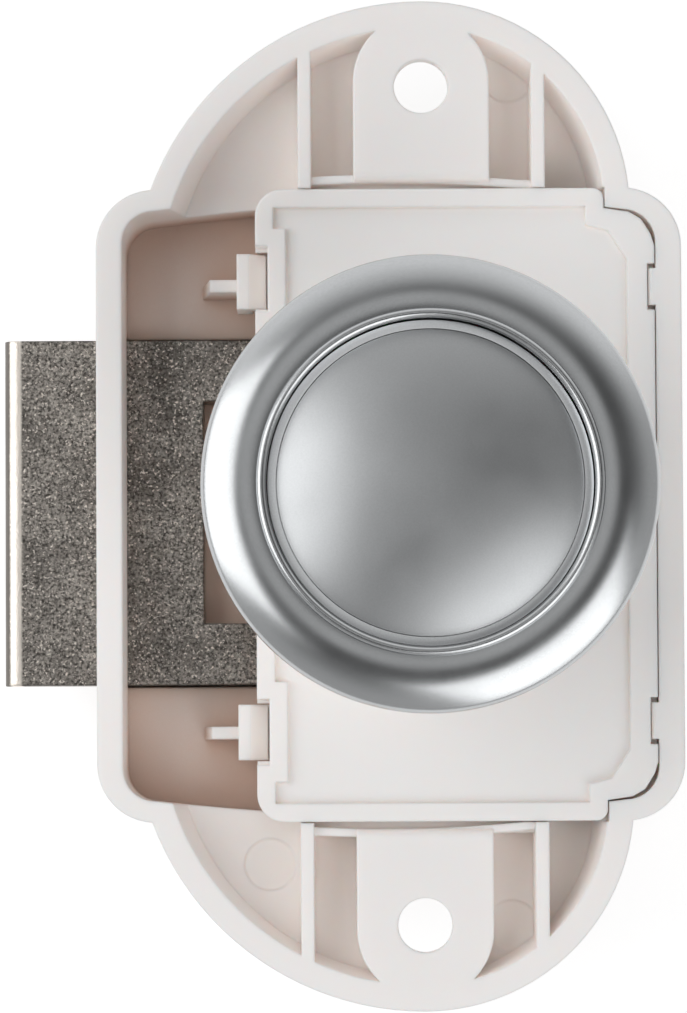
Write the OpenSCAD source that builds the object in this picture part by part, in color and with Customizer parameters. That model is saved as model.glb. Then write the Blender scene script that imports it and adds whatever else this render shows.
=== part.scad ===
// Push button cabinet lock: press the button once and it springs out while the bolt draws in,
// press it again and it stays in while the bolt stands out.
// +Z points out of the door front, +X away from the bolt nose, +Y along the case.
// The origin is on the button axis at the face that lies against the door.

/* [Case] */
// Length of the case over both ears
case_length = 69.1; // [66:0.1:74]
// Width of the case body
case_width = 40.05; // [39:0.05:44]
// Shift of the case body centre from the button axis, towards the bolt
case_shift = 2.28; // [1.8:0.02:2.6]
// Height of the case body along Y, between the ears
body_height = 43.3; // [42.8:0.1:45]
// Depth of the case
case_depth = 16.5; // [16.5:0.1:20]
// Radius of the body corners
body_corner_r = 4; // [3:0.1:5]
// Thickness of the side walls
wall_t = 1.75; // [1.4:0.05:1.9]
// Thickness of the two end walls of the body
end_wall_t = 1.45; // [1:0.05:1.5]
// How far the two end walls bow out in the middle
end_bow = 1; // [0.4:0.05:1.2]
// Thickness of the floor
floor_t = 1.5; // [1.2:0.05:2]
// Bevel round the back of the body
back_bevel = 1; // [0.4:0.1:1.1]
// Ear radius on the bolt side
ear_big_r = 19.8; // [19:0.1:20.5]
// Ear radius on the other side
ear_small_r = 14.25; // [13.8:0.05:15]
// Depth of an ear where it meets the body
ear_root_depth = 5.8; // [5:0.1:8]
// Depth of an ear at its tip
ear_tip_depth = 4.2; // [3.6:0.1:5]
// How far an ear wall leans in towards its foot
ear_draft = 1.1; // [0.4:0.05:1.3]

/* [Screw bosses and ribs] */
// Distance between the two screw holes
screw_spacing = 57.4; // [56:0.1:59]
// Diameter of a screw hole
screw_hole_d = 3.7; // [3.2:0.1:4.2]
// Width of a screw boss
boss_w = 9.3; // [8:0.1:9.6]
// Rounding of the boss edge towards the plate
boss_edge_r = 0.7; // [0.4:0.05:1]
// How far the round top of a boss lies beyond its hole
boss_top_shift = 0.35; // [0:0.05:0.5]
// Thickness of a boss in front of the countersink
boss_front_t = 1; // [0.8:0.1:1.6]
// Diameter of the countersink in the back of a boss
head_recess_d = 7; // [6.4:0.1:7.4]
// Distance of the ear ribs from the middle
rib_x = 8; // [7:0.1:9]
// Thickness of the ear ribs
rib_t = 0.9; // [0.7:0.05:1.1]
// Thickness of the cross wall between the ribs
cross_wall_t = 0.55; // [0.5:0.05:0.9]
// Radius of the bowed cross wall
cross_wall_r = 95; // [85:1:130]
// How far the cross wall stays below the rim
cross_wall_drop = 0.5; // [0.2:0.1:1]
// Diameter of an ejector mark in an ear floor
mark_d = 3.6; // [2.6:0.1:3.8]
// Depth of an ejector mark
mark_depth = 0.12; // [0.1:0.01:0.3]

/* [Cover plate] */
// Left edge of the plate from the button axis
plate_left = 11.4; // [11:0.05:11.6]
// Thickness of the plate
plate_t = 1.5; // [1.3:0.05:1.6]
// Height of the raised border
border_h = 0.4; // [0.2:0.05:0.5]
// Width of the raised border
border_w = 1.25; // [1:0.05:1.3]
// Radius of the left plate corners
plate_corner_r = 1.85; // [1:0.05:2.2]
// Gap between the plate and the case walls
plate_gap = 0.08; // [0.06:0.01:0.15]
// Distance of the snap hooks from the middle
hook_y = 15.5; // [15.2:0.05:15.8]
// Width of a snap hook
hook_w = 3.8; // [3.4:0.1:4]
// Thickness of a hook arm
hook_arm_t = 1.05; // [0.9:0.05:1.15]
// How far a hook head stays below the rim
hook_drop = 1.4; // [1.3:0.05:1.7]
// Reach of a hook head over its catch
hook_reach = 0.95; // [0.7:0.05:0.98]
// Width of the plate notch beside a hook
hook_notch_w = 4.5; // [4.4:0.05:5]
// Thickness of a hook gusset
gusset_t = 0.86; // [0.7:0.02:1.1]
// Drop of the case shelves below the top of the bolt
shelf_drop = 0.9; // [0.7:0.05:1.2]
// Distance of the wall tabs from the middle
wall_tab_y = 14.85; // [14.5:0.05:15.2]
// Width of a wall tab
wall_tab_w = 2.5; // [2.2:0.1:2.8]
// Reach of a wall tab
wall_tab_reach = 0.5; // [0.4:0.05:0.65]
// Width of a wall tab notch in the plate
tab_notch_w = 3.2; // [3:0.05:3.6]

/* [Bolt] */
// Width of the bolt
bolt_w = 24.2; // [23.6:0.1:24.4]
// Thickness of the bolt
bolt_t = 2.5; // [2.2:0.05:2.7]
// Depth of the bolt face below the rim
bolt_drop = 6.6; // [6.5:0.05:6.8]
// How far the nose stands out of the case
bolt_throw = 6.87; // [6:0.05:6.9]
// Rounding of the nose edge
nose_r = 0.95; // [0.5:0.05:1.2]
// Bolt window edge towards the nose, from the button axis
window_left = 15.2; // [15.1:0.05:15.8]
// Height of the bolt window
window_h = 15.6; // [15.5:0.05:15.9]
// Width of the bar behind the window
bolt_bar_w = 2; // [1.6:0.05:2.05]
// Thickness of a bolt ear
bolt_ear_t = 1.8; // [1.5:0.05:1.9]
// Diameter of a drive pin
pin_d = 2; // [1.8:0.05:2.1]
// Distance of the drive pins from the button axis, towards the nose, when the bolt is out
pin_x = 4; // [3.8:0.05:4.2]
// Depth of the drive pin axis below the rim
pin_drop = 4; // [3.95:0.05:4.1]
// Running gap of sliding pieces
slide_gap = 0.15; // [0.1:0.01:0.2]

/* [Button] */
// Travel of the button, and of the bolt
travel = 6.8; // [6.2:0.1:6.9]
// Further push that frees the button
over_travel = 0.7; // [0.5:0.05:0.75]
// Diameter of the button
button_d = 20.7; // [20.4:0.05:20.8]
// Diameter of the domed face
face_d = 19.5; // [18.8:0.1:19.6]
// Rise of the domed face
face_rise = 1.7; // [1:0.05:2]
// Height of the button edge above the door face, with the button in
button_edge_h = 1.8; // [1.4:0.05:2]
// Wall of the button cup
cap_wall = 1.1; // [0.9:0.05:1.3]
// Diameter of the button stem
stem_d = 9; // [8:0.1:10]
// Diameter of the stem screw
stem_screw_d = 3; // [2.5:0.1:3.1]
// Diameter of the stem screw head
stem_screw_head_d = 5.2; // [4.8:0.1:5.4]
// Height of the stem screw head
stem_screw_head_h = 1.9; // [1.6:0.1:2.1]

/* [Rosette and sleeve] */
// Thickness of the door that the lock is made for
door_t = 16; // [15:0.1:19]
// Diameter of the sleeve, for a 26 mm hole
sleeve_d = 25.6; // [25.2:0.1:25.8]
// Bore of the sleeve
sleeve_bore_d = 22.4; // [22.2:0.1:22.6]
// Outer diameter of the rosette
rosette_d = 29.2; // [28.6:0.1:32]
// Height of the rosette over the door
rosette_h = 2.6; // [2.4:0.05:3]
// Radius of the broad rounded face of the ring
rosette_face_r = 4.5; // [4.2:0.1:6]
// Distance of the highest line of the ring from its outer edge
rosette_crest = 2.95; // [2.6:0.05:3]
// Radius of the rounded outer edge of the ring
rosette_edge_r = 0.7; // [0.5:0.05:0.8]
// Length of the rosette collar
collar_length = 3.7; // [3:0.1:4.5]
// Radius of the small bead round the button
bead_r = 0.32; // [0.25:0.01:0.34]

/* [Plunger and spring] */
// Plunger face towards the nose, from the button axis
plunger_left = 7.4; // [7.3:0.05:7.5]
// Plunger face with the track, from the button axis
plunger_right = 5.9; // [5.8:0.05:6]
// Width of the plunger along Y
plunger_w = 14.6; // [14.4:0.05:14.8]
// Height of the plunger top over the rim
plunger_top = 0.6; // [0.4:0.1:0.8]
// Corner radius of the plunger
plunger_corner_r = 1; // [0.6:0.1:1.2]
// Depth of the cam grooves
groove_depth = 1; // [0.8:0.05:1.1]
// Depth of the heart track
track_depth = 0.9; // [0.8:0.05:0.95]
// Spring wire diameter
spring_wire_d = 0.8; // [0.7:0.02:0.84]
// Outer diameter of the spring
spring_d = 7.8; // [7.6:0.05:7.9]
// Turns of the spring
spring_turns = 5; // [4:0.5:5]
// Gap between the spring and its bore
spring_gap = 0.3; // [0.25:0.01:0.4]
// Height of the spring boss on the floor
spring_boss_h = 2.5; // [2:0.1:2.6]
// Thickness of the spring washer
washer_t = 0.6; // [0.5:0.05:0.7]
// Depth of the spring bore roof below the rim
roof_drop = 5.5; // [5.4:0.05:5.7]
// Follower wire diameter
follower_d = 0.8; // [0.7:0.02:0.84]
// Distance of the follower bearing from the right edge of the plate
follower_inset = 3.7; // [3.5:0.05:4]
// Width of the follower leaf
leaf_w = 3.2; // [2.8:0.1:3.4]
// Length of the follower leaf
leaf_l = 6.7; // [6:0.1:6.8]
// Thickness of the follower leaf
leaf_t = 0.3; // [0.25:0.01:0.35]

/* [Hidden] */
$fn = 64;
eps = 0.01;
big = 200;
x_left = -case_shift - case_width / 2;
x_right = x_left + case_width;
y_body = body_height / 2;
y_tip = case_length / 2;
in_left = x_left + wall_t;
in_right = x_right - wall_t;
in_y = y_body - end_wall_t;
in_corner_r = body_corner_r - wall_t;
floor_z = floor_t - case_depth;
root = 0.3;
past = 1;
bow_half = case_width / 2 - body_corner_r;
bow_r = (bow_half * bow_half + end_bow * end_bow) / (2 * end_bow);
screw_y = screw_spacing / 2;
ear_slope = (ear_root_depth - ear_tip_depth) / (y_tip - y_body);
function ear_back(y) = ear_slope * (y - y_body) - ear_root_depth;
mark_x = rib_x - 0.53 * mark_d;
marks = [[-rib_x - 0.72 * mark_d, y_body + 0.82 * mark_d, -1], [mark_x, screw_y + 0.06 * mark_d, -1],
    [mark_x, screw_y + 0.36 * mark_d, 1]];
plate_bottom = -plate_t;
recess_z = -border_h;
plate_end_gap = 0.02;
plate_y = y_body - plate_end_gap;
cross_wall_gap = 0.52;
cross_wall_y = plate_y + cross_wall_gap;
plate_right = in_right - plate_gap;
plate_step_w = 3.45;
plate_step_x = plate_right - plate_step_w;
plate_step_lap = 0.05;
plate_step_y = in_y + plate_step_lap;
plate_chamfer = 2.6;
step_corner_r = 0.8;
land_w = 0.85;
land_h = 6.85;
opening_r = plunger_corner_r + slide_gap / 2;
hook_back = 1.3;
hook_left = -plate_left - hook_back;
hook_head_h = 1.2;
hook_tip_h = 0.4;
hook_flat = 0.85;
hook_neck_w = 0.63 * hook_w;
hook_gap = 0.15;
lip_t = 0.4;
finger_l = 1.9;
finger_drop = 2.2;
finger_lean = 0.65;
neck_drop = 1.5;
catch_z = -hook_drop - hook_head_h;
catch_t = 1;
tab_t = 0.7;
tab_gap = 0.2;
tab_bevel = 0.2;
touch_gap = 0.08;
bolt_top = -bolt_drop;
bolt_bottom = bolt_top - bolt_t;
bolt_tip = x_left - bolt_throw;
window_gap = 0.2;
window_right = plunger_right + over_travel + window_gap;
bolt_end = window_right + bolt_bar_w;
pin_gap = 0.12;
press_gap = 0.02;
ear_y0 = window_h / 2;
ear_y1 = ear_y0 + bolt_ear_t;
ear_top_gap = 0.3;
ear_r = pin_drop - plate_t - ear_top_gap;
bolt_gap = 0.1;
channel_y = bolt_w / 2 + slide_gap;
channel_z = bolt_bottom - bolt_gap;
shelf_z = bolt_top - shelf_drop;
post_y = hook_y + hook_notch_w / 2 + touch_gap;
pocket_gap = 0.25;
end_gap = 0.5;
post_w = 1.5;
post_l = 1.7;
ledge_w = 1;
ledge_y = 4;
corner_w = 2.2 * in_corner_r;
keeper_t = 1;
keeper_y = ear_y1 + end_gap;
web_t = 1;
web_l = 3;
web_gap = 0.4;
plunger_gap = 0.25;
plunger_bottom = floor_z + over_travel + plunger_gap;
button_r = button_d / 2;
button_edge_z = door_t + button_edge_h;
bore_gap = 0.1;
collar_bore_r = button_r + bore_gap;
ring_r = rosette_d / 2 - rosette_crest;
face_centre_z = door_t + rosette_h - rosette_face_r;
edge_x = rosette_d / 2 - rosette_edge_r;
edge_z = face_centre_z + sqrt(pow(rosette_face_r - rosette_edge_r, 2) - pow(edge_x - ring_r, 2));
bead_x = collar_bore_r + bead_r + press_gap;
bead_z = face_centre_z + sqrt(pow(rosette_face_r, 2) - pow(ring_r - bead_x, 2)) - press_gap;
collar_z = door_t - collar_length;
collar_step = 0.55;
collar_r = sleeve_bore_d / 2 + collar_step;
spigot_gap = 0.1;
spigot_h = 1;
spigot_t = 0.75;
spigot_r = sleeve_bore_d / 2 - spigot_gap;
seat_rim = 0.2;
spring_r = (spring_d - spring_wire_d) / 2;
spring_bore_r = spring_d / 2 + spring_gap;
spring_boss_r = spring_r * cos(180 / 8) - spring_wire_d / 2 - spring_gap / 2;
roof_z = -roof_drop;
spring_top = roof_z - washer_t;
key_w = 5;
key_h = 1;
key_gap = 0.1;
cap_bottom = 3;
cap_skirt = 4;
cap_edge_h = 0.1;
cap_edge_gap = 0.08;
cap_fit = 0.05;
cap_roof_t = 1;
face_seat = 0.85;
core_top = button_edge_z - face_seat - cap_roof_t;
screw_length = 14;
screw_room = 1;
screw_slot_l = 3.2;
screw_slot_w = 0.6;
screw_slot_h = 1;
follower_x = plate_right - follower_inset;
follower_z = -pin_drop;
follower_tip_x = plunger_right - track_depth + pin_gap;
bearing_r = 1.7;
foot_x = follower_x + bearing_r + root;
foot_t = 1.2;
foot_rim = 0.35;
wire_gap = 0.05;
leaf_z = follower_z - follower_d / 2 - press_gap;

// Box with rounded upright corners, from x0,y0 to x1,y1
module rbox(x0, x1, y0, y1, z0, z1, r) {
    translate([0, 0, z0]) linear_extrude(z1 - z0) {
        translate([x0 + r, y0]) square([x1 - x0 - 2 * r, y1 - y0]);
        translate([x0, y0 + r]) square([x1 - x0, y1 - y0 - 2 * r]);
        for (x = [x0 + r, x1 - r], y = [y0 + r, y1 - r]) translate([x, y]) circle(r);
    }
}

// Plain box from corner to corner
module box(x0, x1, y0, y1, z0, z1) {
    translate([x0, y0, z0]) cube([x1 - x0, y1 - y0, z1 - z0]);
}

// Cylinder along Y
module ycyl(x, z, r, y0, y1) {
    translate([x, y0, z]) rotate([-90, 0, 0]) cylinder(r = r, h = y1 - y0);
}

// Outline that is drawn in X and Z, made y1 - y0 thick
module xz(pts, y0, y1) {
    translate([0, y1, 0]) rotate([90, 0, 0]) linear_extrude(y1 - y0) polygon(pts);
}

// Outline that is drawn in Y and Z, made x1 - x0 thick
module yz(pts, x0, x1) {
    translate([x0, 0, 0]) rotate([90, 0, 90]) linear_extrude(x1 - x0) polygon(pts);
}

// The same piece at +Y and at -Y
module both() {
    children();
    mirror([0, 1, 0]) children();
}

// Body block with a bevel round its back
module body_block() {
    r = body_corner_r;
    c = back_bevel;
    z0 = -case_depth;
    z1 = z0 + c;
    z2 = z1 + root;
    rbox(x_left, x_right, -y_body, y_body, z1, 0, r);
    xz([[x_left, z2], [x_left, z1], [x_left + c, z0], [x_right - c, z0], [x_right, z1], [x_right, z2]],
        r - y_body, y_body - r);
    yz([[-y_body, z2], [-y_body, z1], [c - y_body, z0], [y_body - c, z0], [y_body, z1], [y_body, z2]],
        x_left + r, x_right - r);
    for (x = [x_left + r, x_right - r], y = [r - y_body, y_body - r]) translate([x, y, 0])
        rotate_extrude() polygon([[0, z0], [r - c, z0], [r, z1], [r, z2], [0, z2]]);
    both() intersection() {
        bow(y_body, z0, 0);
        translate([-case_shift, y_body + end_bow - bow_r, z0])
            cylinder(r1 = bow_r - c, r2 = bow_r - c + case_depth, h = case_depth, $fn = 720);
    }
}

// Bowed strip that fills an end wall out from a straight line at y
module bow(y, z0, z1) {
    intersection() {
        translate([-case_shift, y + end_bow - bow_r, z0]) cylinder(r = bow_r, h = z1 - z0, $fn = 720);
        box(-case_shift - bow_half, -case_shift + bow_half, y - body_corner_r, y + 2 * end_bow, z0, z1);
    }
}

// Prism of one ear, each side with its own radius, drawn in by inset and by draft at its foot
module ear_prism(inset, draft) {
    h = ear_root_depth + past;
    for (side = [[ear_big_r, -big, 0], [ear_small_r, 0, big]]) intersection() {
        translate([0, y_tip - side[0], 0]) {
            translate([0, 0, -h])
                cylinder(r1 = side[0] - inset - draft, r2 = side[0] - inset, h = h, $fn = 128);
            cylinder(r = side[0] - inset, h = past, $fn = 128);
        }
        box(side[1], side[2], in_y - past, big, -h, past);
    }
}

// The room of an ear between its sloping back and a height, back lifted by lift
module ear_room(lift, top) {
    y0 = in_y - past / 2;
    y1 = y_tip + past;
    yz([[y0, top], [y0, lift + ear_back(y0)], [y1, lift + ear_back(y1)], [y1, top]], x_left, x_right);
}

// Piece of an ear that stands on its floor, cut to the ear
module in_ear(top) {
    intersection() {
        ear_prism(wall_t / 2, 0);
        ear_room(floor_t / 2, top);
        children();
    }
}

// Screw boss, round towards the tip, with a rounded edge towards the plate
module boss() {
    w = boss_w / 2;
    y0 = cross_wall_y;
    y1 = y0 + boss_edge_r;
    y2 = screw_y + boss_top_shift;
    translate([0, y2, -case_depth]) cylinder(r = w, h = case_depth);
    box(-w, w, y1, y2, -case_depth, 0);
    box(-w, w, y0, y1 + eps, -case_depth, -boss_edge_r);
    translate([-w, y1, -boss_edge_r]) rotate([0, 90, 0]) cylinder(r = boss_edge_r, h = boss_w);
}

// Thin bowed wall between the ribs, beside the plate
module cross_wall() {
    intersection() {
        box(-rib_x, rib_x, plate_y + touch_gap, big, -case_depth, 0);
        translate([-case_shift, cross_wall_y + cross_wall_t - cross_wall_r, -case_depth]) difference() {
            cylinder(r = cross_wall_r, h = case_depth, $fn = 720);
            translate([0, 0, -past])
                cylinder(r = cross_wall_r - cross_wall_t, h = case_depth + 2 * past, $fn = 720);
        }
    }
}

module ear_inside() {
    in_ear(0) union() {
        for (x = [-rib_x, rib_x])
            box(x - rib_t / 2, x + rib_t / 2, plate_y + touch_gap, big, -case_depth, 0);
        boss();
    }
    in_ear(-cross_wall_drop) cross_wall();
    in_ear(plate_bottom)
        box(-rib_x - rib_t / 2, rib_x + rib_t / 2, in_y - root, cross_wall_y + root, -case_depth, 0);
}

// Screw hole, countersunk from the back
module screw_hole() {
    sink = (head_recess_d - screw_hole_d) / 2;
    translate([0, screw_y, -case_depth]) {
        cylinder(d = screw_hole_d, h = case_depth + past);
        cylinder(d = head_recess_d, h = case_depth - boss_front_t - sink + eps);
        translate([0, 0, case_depth - boss_front_t - sink])
            cylinder(d1 = head_recess_d, d2 = screw_hole_d, h = sink);
    }
}

// Round ejector mark, flat in the sloping floor of an ear
module ejector_mark(m) {
    mirror([0, m[2] < 0 ? 1 : 0, 0]) intersection() {
        ear_prism(wall_t, ear_draft);
        translate([m[0], m[1], floor_t + ear_back(m[1])]) rotate([atan(ear_slope), 0, 0])
            translate([0, 0, -mark_depth]) cylinder(d = mark_d, h = mark_depth + past);
    }
}

// Snap hook with its gusset, on the shelf
module hook() {
    x1 = hook_left + hook_arm_t;
    top = -hook_drop;
    neck = catch_z - neck_drop;
    xz([[hook_left, neck], [x1, neck], [x1, catch_z], [x1 + hook_reach, catch_z],
        [x1 + hook_reach, catch_z + hook_tip_h], [hook_left + hook_flat, top], [hook_left, top]],
        hook_y - hook_w / 2, hook_y + hook_w / 2);
    box(hook_left, x1, hook_y - hook_neck_w / 2, hook_y + hook_neck_w / 2, shelf_z - root, neck + root);
    xz([[hook_left + root, shelf_z - root], [hook_left + root, top - finger_drop],
        [hook_left - finger_l, top - finger_drop], [hook_left - finger_l - finger_lean, shelf_z - root]],
        hook_y - gusset_t / 2, hook_y + gusset_t / 2);
}

module housing() {
    color([0.9, 0.88, 0.87]) {
        difference() {
            union() {
                body_block();
                both() intersection() {
                    ear_prism(0, 0);
                    ear_room(0, 0);
                }
            }
            // Room over the shelves, channel of the bolt between them, and pocket of the plunger
            rbox(in_left, in_right, -in_y, in_y, shelf_z, past, in_corner_r);
            both() bow(in_y, shelf_z, past);
            box(in_left, in_right, -channel_y, channel_y, channel_z, past);
            rbox(-plunger_left - pocket_gap, plunger_right + pocket_gap, -plunger_w / 2 - pocket_gap,
                plunger_w / 2 + pocket_gap, floor_z, past, opening_r);
            // Seat of the plate between the ear walls
            both() box(plate_step_x - plate_step_w, plate_step_x + touch_gap, in_y, plate_y + touch_gap,
                plate_bottom, past);
            both() intersection() {
                ear_prism(wall_t, ear_draft);
                ear_room(floor_t, past);
            }
            box(x_left - past, in_left + past / 2, -bolt_w / 2 - slide_gap, bolt_w / 2 + slide_gap,
                bolt_bottom - slide_gap, bolt_top + slide_gap);
            both() screw_hole();
            for (m = marks) ejector_mark(m);
        }
        difference() {
            both() ear_inside();
            both() screw_hole();
        }
        both() {
            // Post under the plate
            box(-plate_left + touch_gap, -plate_left + touch_gap + post_w, post_y, post_y + post_l,
                shelf_z - root, plate_bottom);
            // Ledge under the right edge and corner of the plate, and the tab over it
            box(in_right - ledge_w, in_right + root, ledge_y, in_y - in_corner_r, plate_bottom - plate_t,
                plate_bottom);
            rbox(in_right - corner_w, in_right + root, in_y - corner_w, in_y + root, plate_bottom - plate_t,
                plate_bottom, in_corner_r);
            xz([[in_right + root, -tab_t], [in_right + root, 0], [in_right - wall_tab_reach + tab_bevel, 0],
                [in_right - wall_tab_reach, -tab_bevel], [in_right - wall_tab_reach, -tab_t]],
                wall_tab_y - wall_tab_w / 2, wall_tab_y + wall_tab_w / 2);
            hook();
        }
        translate([0, 0, floor_z - root])
            cylinder(r = spring_boss_r, h = spring_boss_h + root);
    }
}

// Outline of the plate, right side stepped to fit between the case walls
module plate_outline() {
    r = plate_corner_r;
    q = step_corner_r;
    c = plate_chamfer;
    x = plate_right;
    y = plate_step_y;
    half = [[-plate_left, plate_y - r], [r - plate_left, plate_y - r], [r - plate_left, plate_y],
        [plate_step_x - q, plate_y], [plate_step_x - q, plate_y - q], [plate_step_x, plate_y - q],
        [plate_step_x, y], [x - 0.67 * c, y - 0.1 * c], [x - 0.35 * c, y - 0.29 * c],
        [x - 0.1 * c, y - 0.69 * c], [x, y - c]];
    polygon(concat(half, [for (i = [len(half) - 1:-1:0]) [half[i][0], -half[i][1]]]));
    for (k = [-1, 1]) {
        translate([r - plate_left, k * (plate_y - r)]) circle(r);
        translate([plate_step_x - q, k * (plate_y - q)]) circle(q);
    }
}

// Sunk field of the plate, one half, with a land beside the hook
module field_half() {
    a = border_w - plate_left;
    b = plate_step_x - border_w;
    c = plate_right - 1.52 * border_w;
    y1 = plate_y - border_w;
    land0 = hook_y - land_h / 2;
    land1 = hook_y + land_h / 2;
    polygon([[a, 0], [a, land0], [a + land_w, land0], [a + land_w, land1], [a, land1], [a, y1],
        [b, y1], [b, y1 - border_w], [b + 1.24 * border_w, y1 - 1.32 * border_w],
        [c, y1 - 2.88 * border_w], [c, 0]]);
}

module cover_plate() {
    color([0.91, 0.89, 0.88]) {
        difference() {
            union() {
                difference() {
                    translate([0, 0, plate_bottom]) linear_extrude(plate_t) plate_outline();
                    translate([0, 0, recess_z]) linear_extrude(past) field_half();
                    translate([0, 0, recess_z]) linear_extrude(past) mirror([0, 1, 0]) field_half();
                }
                // Seat and spigot of the sleeve
                intersection() {
                    translate([0, 0, recess_z - root])
                        cylinder(r = sleeve_d / 2 + seat_rim, h = border_h + root);
                    box(-plate_left, big, -big, big, -big, big);
                }
                translate([0, 0, recess_z - root]) cylinder(r = spigot_r, h = border_h + root + spigot_h);
            }
            rbox(-plunger_left - slide_gap, plunger_right + slide_gap, -plunger_w / 2 - slide_gap,
                plunger_w / 2 + slide_gap, plate_bottom - past, past, opening_r);
            translate([0, 0, recess_z]) cylinder(r = spigot_r - spigot_t, h = past + spigot_h);
            both() {
                box(-plate_left - past, hook_left + hook_arm_t + hook_reach + hook_gap,
                    hook_y - hook_notch_w / 2, hook_y + hook_notch_w / 2, plate_bottom - past, past);
                box(in_right - wall_tab_reach - touch_gap, big, wall_tab_y - tab_notch_w / 2,
                    wall_tab_y + tab_notch_w / 2, -tab_t - touch_gap, past);
            }
        }
        both() {
            // Catch for the hook, and the rib that keeps the bolt down
            x1 = hook_left + hook_arm_t + hook_reach + hook_gap;
            box(x1, x1 + catch_t, hook_y - hook_notch_w / 2, hook_y + hook_notch_w / 2, catch_z - catch_t,
                plate_bottom + root);
            box(x1 - hook_reach, x1 + root, hook_y - hook_w / 2, hook_y + hook_w / 2, catch_z - catch_t,
                catch_z - touch_gap);
            // Lips that close the notch beside the hook
            for (k = [0, 1]) translate([0, hook_y, 0]) mirror([0, k, 0])
                box(-plate_left, x1 + root, hook_w / 2 + touch_gap, hook_notch_w / 2 + root,
                    plate_bottom, plate_bottom + lip_t);
            box(-plate_left + border_w, plate_right - 2 * keeper_t, keeper_y, keeper_y + keeper_t,
                bolt_top + bolt_gap, plate_bottom + root);
            box(plunger_right + slide_gap, plunger_right + slide_gap + web_t, web_l, 2 * web_l,
                bolt_top + web_gap, plate_bottom + root);
        }
        box(-plunger_left - slide_gap - web_t, -plunger_left - slide_gap, -2 * web_l, 2 * web_l,
            bolt_top + web_gap, plate_bottom + root);
        // Bearing of the follower wire, and the slotted foot of its leaf
        difference() {
            translate([follower_x, 0, follower_z + follower_d / 2 + touch_gap])
                cylinder(r = bearing_r, h = plate_bottom + root - follower_z - follower_d / 2 - touch_gap);
            translate([follower_x, 0, follower_z])
                cylinder(d = follower_d + 2 * touch_gap, h = plate_bottom - tab_gap - follower_z);
        }
        difference() {
            box(foot_x, foot_x + foot_t, -leaf_w / 2 - foot_rim, leaf_w / 2 + foot_rim,
                leaf_z - leaf_t - 2 * foot_rim, plate_bottom + root);
            box(foot_x - past, foot_x + foot_t + past, -leaf_w / 2 - press_gap, leaf_w / 2 + press_gap,
                leaf_z - leaf_t - press_gap, leaf_z + press_gap);
        }
    }
}

module sleeve() {
    color([0.88, 0.87, 0.86]) difference() {
        cylinder(d = sleeve_d, h = door_t, $fn = 96);
        translate([0, 0, -past]) cylinder(d = sleeve_bore_d, h = door_t + 2 * past, $fn = 96);
        translate([0, 0, collar_z - tab_gap]) cylinder(r = collar_r + spigot_gap, h = door_t, $fn = 96);
    }
}

module rosette() {
    slope = [edge_x - ring_r, edge_z - face_centre_z];
    color([0.62, 0.63, 0.64]) difference() {
        union() {
            // Broad face, cut along the cone on which it meets the rounded edge
            intersection() {
                rotate_extrude($fn = 128) translate([ring_r, face_centre_z]) circle(rosette_face_r, $fn = 96);
                rotate_extrude($fn = 128) polygon([[collar_bore_r / 2, door_t], [edge_x, door_t],
                    [edge_x, edge_z], [edge_x, edge_z] + slope, [collar_bore_r / 2, edge_z + slope[1]]]);
            }
            rotate_extrude($fn = 128) translate([edge_x, edge_z]) circle(rosette_edge_r, $fn = 48);
            translate([0, 0, door_t]) cylinder(d = rosette_d, h = edge_z - door_t, $fn = 128);
            translate([0, 0, collar_z]) cylinder(r = collar_r, h = collar_length + root, $fn = 96);
            rotate_extrude($fn = 128) translate([bead_x, bead_z]) circle(bead_r, $fn = 32);
        }
        translate([0, 0, collar_z - past]) cylinder(r = collar_bore_r, h = 3 * collar_length, $fn = 96);
    }
}

module bolt() {
    color([0.45, 0.43, 0.41]) {
        difference() {
            union() {
                box(bolt_tip + nose_r, bolt_end, -bolt_w / 2, bolt_w / 2, bolt_bottom, bolt_top);
                box(bolt_tip, bolt_tip + nose_r + eps, -bolt_w / 2, bolt_w / 2, bolt_bottom,
                    bolt_top - nose_r);
                ycyl(bolt_tip + nose_r, bolt_top - nose_r, nose_r, -bolt_w / 2, bolt_w / 2);
            }
            box(-window_left, window_right, -window_h / 2, window_h / 2, bolt_bottom - past, bolt_top + past);
        }
        both() difference() {
            union() {
                ycyl(-pin_x, -pin_drop, ear_r, ear_y0, ear_y1);
                box(-pin_x - ear_r, -pin_x + ear_r, ear_y0, ear_y1, bolt_top - root, -pin_drop);
            }
            ycyl(-pin_x, -pin_drop, pin_d / 2 + press_gap, ear_y0 - past, ear_y1 + past);
        }
    }
}

module drive_pins() {
    color([0.7, 0.7, 0.72]) both()
        ycyl(-pin_x, -pin_drop, pin_d / 2, plunger_w / 2 - groove_depth + slide_gap, ear_y1);
}

// Slanted cam groove, in the face towards +Y
module cam_groove() {
    r = pin_d / 2 + pin_gap;
    y0 = plunger_w / 2 - groove_depth;
    y1 = plunger_w / 2 + past;
    up = over_travel + pin_gap;
    down = travel + pin_gap;
    ycyl(-pin_x - up, up - pin_drop, r, y0, y1);
    ycyl(-pin_x + down, -pin_drop - down, r, y0, y1);
    translate([-pin_x - up, y0, up - pin_drop]) rotate([0, 45, 0])
        translate([0, 0, -r]) cube([sqrt(2) * (up + down), y1 - y0, 2 * r]);
}

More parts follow.
